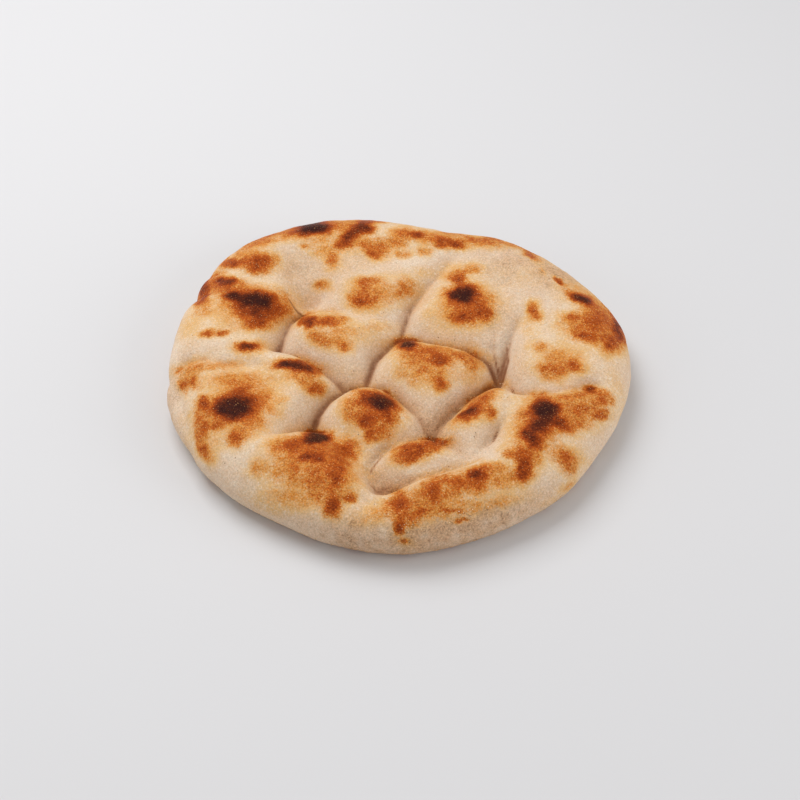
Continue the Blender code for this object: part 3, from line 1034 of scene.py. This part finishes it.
@dataclass(frozen=True)
class Scatter:
    """Small grains strewn over the crust by a layer's value."""

    name: str
    layer: Layer
    per_square_metre: float
    radius: float
    flatness: float
    sunk: float
    seed: int
    sizes: Span = (0.45, 1.35)
    narrowness: float = 0.8
    full_turn: float = 6.28

    def tree(self, material: bpy.types.Material) -> tuple[bpy.types.NodeTree, dict[str, str]]:
        """Builds the geometry tree.

        Args:
            material: The grains' material.

        Returns:
            The tree, and the identifier of each named input.
        """
        group = bpy.data.node_groups.new(self.name, "GeometryNodeTree")
        nodes = NodeTree(group)
        for way in ("OUTPUT", "INPUT"):
            group.interface.new_socket("Geometry", in_out=way, socket_type="NodeSocketGeometry")
        names = {}
        for name in ("Density", "Radius", "Flatness", "Seed"):
            kind = "NodeSocketInt" if name == "Seed" else "NodeSocketFloat"
            names[name] = group.interface.new_socket(name, in_out="INPUT", socket_type=kind).identifier
        crust, density, radius, flatness, seed = nodes.node("NodeGroupInput")[:5]
        share = nodes.node("GeometryNodeInputNamedAttribute", {}, {"Name": self.layer.value})[0]
        points, _, rotation = nodes.node(
            "GeometryNodeDistributePointsOnFaces",
            {"distribute_method": "RANDOM"},
            {"Mesh": crust, "Density": density * share, "Seed": seed},
        )[:3]
        grain = nodes.node("GeometryNodeMeshIcoSphere", {}, {"Radius": radius, "Subdivisions": 1})[0]
        size = nodes.random(*self.sizes, seed)
        flat = nodes.vector(size, size * self.narrowness, size * flatness)
        values = {"Points": points, "Instance": grain, "Rotation": rotation, "Scale": flat}
        strewn = nodes.node("GeometryNodeInstanceOnPoints", {}, values)[0]
        turn = nodes.vector(0.0, 0.0, nodes.random(0.0, self.full_turn, seed))
        turned = nodes.node("GeometryNodeRotateInstances", {}, {"Instances": strewn, "Rotation": turn})[0]
        values = {"Instances": turned, "Translation": nodes.vector(0.0, 0.0, radius * -self.sunk)}
        sunk = nodes.node("GeometryNodeTranslateInstances", {}, values)[0]
        real = nodes.node("GeometryNodeRealizeInstances", {}, {"Geometry": sunk})[0]
        done = nodes.node("GeometryNodeSetMaterial", {}, {"Geometry": real, "Material": material})[0]
        nodes.node("NodeGroupOutput", {}, {0: done})
        return group, names

    def piece(self, crust: bpy.types.Object, material: bpy.types.Material) -> bpy.types.Object:
        """Strews the grains and makes them one plain mesh.

        Args:
            crust: The loaf that they lie on.
            material: The grains' material.

        Returns:
            The piece.
        """
        group, names = self.tree(material)
        carrier = placed(f"{self.name}_carrier", crust.data)
        strewing = carrier.modifiers.new(self.name, "NODES")
        strewing.node_group = group
        values = (self.per_square_metre, self.radius, self.flatness, self.seed)
        for identifier, value in zip(names.values(), values):
            strewing[identifier] = value
        graph = bpy.context.evaluated_depsgraph_get()
        mesh = bpy.data.meshes.new_from_object(carrier.evaluated_get(graph))
        bpy.data.objects.remove(carrier)
        mesh.name = self.name
        return placed(self.name, mesh)


# The pide


@dataclass(frozen=True)
class Strip:
    """A soft strip along the front wall, in millimetres: its middle and its half size across and up."""

    across: float
    up: float
    width: float
    tall: float
    front: float

    def share(self, x: Array, y: Array, height: Array) -> Array:
        """How much of each place is in the strip. Nothing behind its front is."""
        return mound(x - self.across, height - self.up, self.width, self.tall) * (y < self.front)


@dataclass
class Pide:
    """The whole loaf: its crust and what sticks to it."""

    loaf: Loaf = field(default_factory=Loaf)
    browning: Browning = field(default_factory=lambda: Browning(browned_spots()))
    crust_finish: CrustFinish = field(default_factory=CrustFinish)
    torn: Run = (
        (88, 58, 14, 1.0), (62, 70, 18, 0.5), (-58, 66, 13, 0.35), (-27, 69, 14, 0.35), (-30, -16, 9, 0.35),
        (-23, -114, 11, 0.4), (-52, -46, 9, 0.2), (56, 32, 10, 0.4), (-118, -18, 14, 0.5),
    )
    torn_wall: float = 0.8
    torn_below: Span = (25.0, 9.0)
    torn_toward: Span = (22.0, 0.5)
    torn_strip: Strip = Strip(26.0, 20.0, 28.0, 5.0, -84.0)
    wall_foot: Span = (2.0, 12.0)
    tuck_start: float = 0.35
    tuck_gain: float = 2.2
    top_side: float = -0.2
    sand_line: Span = (6.0, 9.0)
    sand_strip: Strip = Strip(26.0, 21.0, 26.0, 5.0, -90.0)
    crumbs: float = 0.5
    crumb_size: float = 1.9
    grains: tuple[tuple[Scatter, GrainFinish], ...] = (
        (
            Scatter("blisters", Layer.HEAT, 3.0e5, 0.00024, 0.6, 0.35, 3),
            GrainFinish((0.86, 0.52, 0.21), (0.26, 0.07, 0.015), 0.28, Layer.HEAT),
        ),
        (
            Scatter("semolina", Layer.SAND, 1.6e5, 0.00034, 0.85, 0.2, 5),
            GrainFinish((0.86, 0.70, 0.48), (0.46, 0.24, 0.10), 0.45),
        ),
        (
            Scatter("bran_flecks", Layer.BARE, 0.9e4, 0.0003, 0.3, 0.0, 7),
            GrainFinish((0.36, 0.20, 0.10), (0.20, 0.11, 0.06), 0.7),
        ),
    )

    def build(self) -> list[bpy.types.Object]:
        """Builds the crust and the grains, the crust first."""
        crust = self._crust()
        strewn = [scatter.piece(crust, finish.material(scatter.name)) for scatter, finish in self.grains]
        return [crust, *strewn]

    def _crust(self) -> bpy.types.Object:
        """The crust's mesh with its layers and finish."""
        points, faces = self.loaf.mesh()
        mesh = bpy.data.meshes.new("crust")
        mesh.from_pydata(self._settled(points) * MM, [], faces)
        for polygon in mesh.polygons:
            polygon.use_smooth = True
        normals = np.empty(len(points) * 3, np.float32)
        mesh.vertices.foreach_get("normal", normals)
        normals = normals.reshape(-1, 3)
        layers = self._layers(points, normals)
        for layer, values in layers.items():
            attribute = mesh.attributes.new(layer.value, "FLOAT", "POINT")
            attribute.data.foreach_set("value", values.astype(np.float32))
        ragged = layers[Layer.ROUGH] * uneven(points, self.crumb_size) * held(points[:, 2] / 4.0)
        crumbled = self._settled(points) + normals * (self.crumbs * ragged)[:, None]
        mesh.vertices.foreach_set("co", (crumbled * MM).astype(np.float32).ravel())
        mesh.update()
        mesh.materials.append(self.crust_finish.material("crust"))
        return placed("crust", mesh)

    @staticmethod
    def _settled(points: Array) -> Array:
        """The points about the middle of the CAD node's box, standing on its base."""
        low, high = points.min(axis=0), points.max(axis=0)
        return points - [(low[0] + high[0]) / 2, (low[1] + high[1]) / 2, low[2]]

    def _layers(self, points: Array, normals: Array) -> dict[Layer, Array]:
        """Values of each layer at each point.

        Args:
            points: Points in millimetres on the pattern's own origin.
            normals: The surface's normal at each point.

        Returns:
            One array for each layer.
        """
        upright, (x, y, height) = normals[:, 2], points.T
        heat = self.browning.heat(points, normals)
        foot, over = self.wall_foot
        side = held((height - foot) / over)
        above = upright > self.top_side
        spread = uneven(points, 5.0, 7.0)
        below = held((-upright - self.tuck_start) * self.tuck_gain)
        baked = held(0.2 + 0.42 * uneven(points, 16.0) + 0.3 * spread, 0.7)
        line, over = self.sand_line
        low = held(1 - abs(height - line) / over) * held(0.35 + 1.6 * spread)
        band = self.sand_strip.share(x, y, height)
        return {
            Layer.HEAT: held(heat * side * (1 - below) + baked * below),
            # Furrow depth, which sets where painted shade goes
            Layer.FURROW: held(self.loaf.top.depth(x, y) * above / self.loaf.top.deep),
            Layer.UNDERSIDE: below,
            Layer.SAND: held(low + band * held(0.6 + 2.0 * spread, 1.4), 1.4),
            Layer.BARE: held(1 - heat * 2.5) * (upright > 0),
            # Crease closeness, which sets painted shade and painted shadow lines
            Layer.CREASE: self.loaf.top.crease(x, y) * above,
            Layer.ROUGH: self._rough(x, y, height, spread),
        }

    def _rough(self, x: Array, y: Array, height: Array, spread: Array) -> Array:
        """Where the skin is torn and dusty: in patches on top, and low on the front wall.

        Args:
            x: Places across the loaf.
            y: Places along the loaf.
            height: Height of each place.
            spread: Slow unevenness of each place.

        Returns:
            0 for smooth skin up to 1 for torn.
        """
        torn = np.zeros(len(x))
        for across, along, size, part in self.torn:
            torn += part * mound(x - across, y - along, size, size)
        (top, over), (middle, half_angle) = self.torn_below, self.torn_toward
        wall = held((top - height) / over) * mound(np.arctan2(x - middle, -y), 0.0, half_angle, 1.0)
        band = self.torn_strip.share(x, y, height)
        return held((torn + self.torn_wall * wall + self.torn_wall * band) * (1.0 + 0.8 * spread))


# Studio


@dataclass
class Studio:
    """Floor, soft lights and the camera, in metres."""

    floor_size: float = 6.0
    floor_height: float = -0.0002
    look_at: tuple[float, float, float] = (-0.0005, -0.0115, 0.014)
    distance: float = 0.85
    looking_down: float = 45.0
    shift: tuple[float, float] = (0.00125, -0.0175)
    lens: float = 72.0
    sensor: float = 36.0
    nearest: float = 0.01
    sky_strength: float = 0.465
    lamp_size: float = 0.9
    lamps: tuple[tuple[str, tuple[float, float, float], float], ...] = (
        ("key", (-0.45, 0.55, 1.15), 13.1),
        ("fill", (1.15, -0.4, 0.5), 6.8),
        ("left_fill", (-1.15, -0.4, 0.5), 2.7),
    )

    def build(self) -> None:
        """Makes the floor, lights, sky and camera."""
        self._floor()
        self._sky()
        for name, place, power in self.lamps:
            self._lamp(name, place, power)
        self._camera()

    def _floor(self) -> None:
        """A large plain floor just below the loaf."""
        half = self.floor_size / 2
        mesh = bpy.data.meshes.new("floor")
        corners = [(-half, -half, 0.0), (half, -half, 0.0), (half, half, 0.0), (-half, half, 0.0)]
        mesh.from_pydata(corners, [], [(0, 1, 2, 3)])
        mesh.materials.append(FloorFinish().material("floor"))
        floor = placed("floor", mesh)
        floor.location.z = self.floor_height

    def _sky(self) -> None:
        """Even white light from all round."""
        world = bpy.data.worlds.new("studio")
        world.use_nodes = True
        background = world.node_tree.nodes["Background"]
        background.inputs["Color"].default_value = (1.0, 1.0, 1.0, 1.0)
        background.inputs["Strength"].default_value = self.sky_strength
        bpy.context.scene.world = world
        bpy.context.scene.view_settings.view_transform = "Standard"

    def _lamp(self, name: str, place: tuple[float, float, float], power: float) -> None:
        """Adds a square lamp that points at the loaf.

        Args:
            name: Name of the lamp.
            place: Where it hangs, in metres.
            power: Its power in watts.
        """
        light = bpy.data.lights.new(name, "AREA")
        light.energy = power
        light.size = self.lamp_size
        lamp = placed(name, light)
        lamp.location = place
        lamp.rotation_euler = (-Vector(place)).to_track_quat("-Z", "Y").to_euler()

    def _camera(self) -> None:
        """Camera at the photograph's angle."""
        down = math.radians(self.looking_down)
        data = bpy.data.cameras.new("camera")
        data.lens = self.lens
        data.sensor_width = self.sensor
        data.clip_start = self.nearest
        data.shift_x, data.shift_y = self.shift
        camera = placed("camera", data)
        back = Vector((0.0, -math.cos(down), math.sin(down))) * self.distance
        camera.location = Vector(self.look_at) + back
        camera.rotation_euler = (math.pi / 2 - down, 0.0, 0.0)
        bpy.context.scene.camera = camera


def main() -> None:
    """Builds the studio and the pide, and ties each piece to the frame."""
    logging.basicConfig(level=logging.INFO, format="%(message)s")
    Studio().build()
    pieces = Pide().build()
    for piece in pieces:
        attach(piece, BODY)
        log.info("%s: %d faces", piece.name, len(piece.data.polygons))
    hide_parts(NODE)


if __name__ == "__main__":
    main()
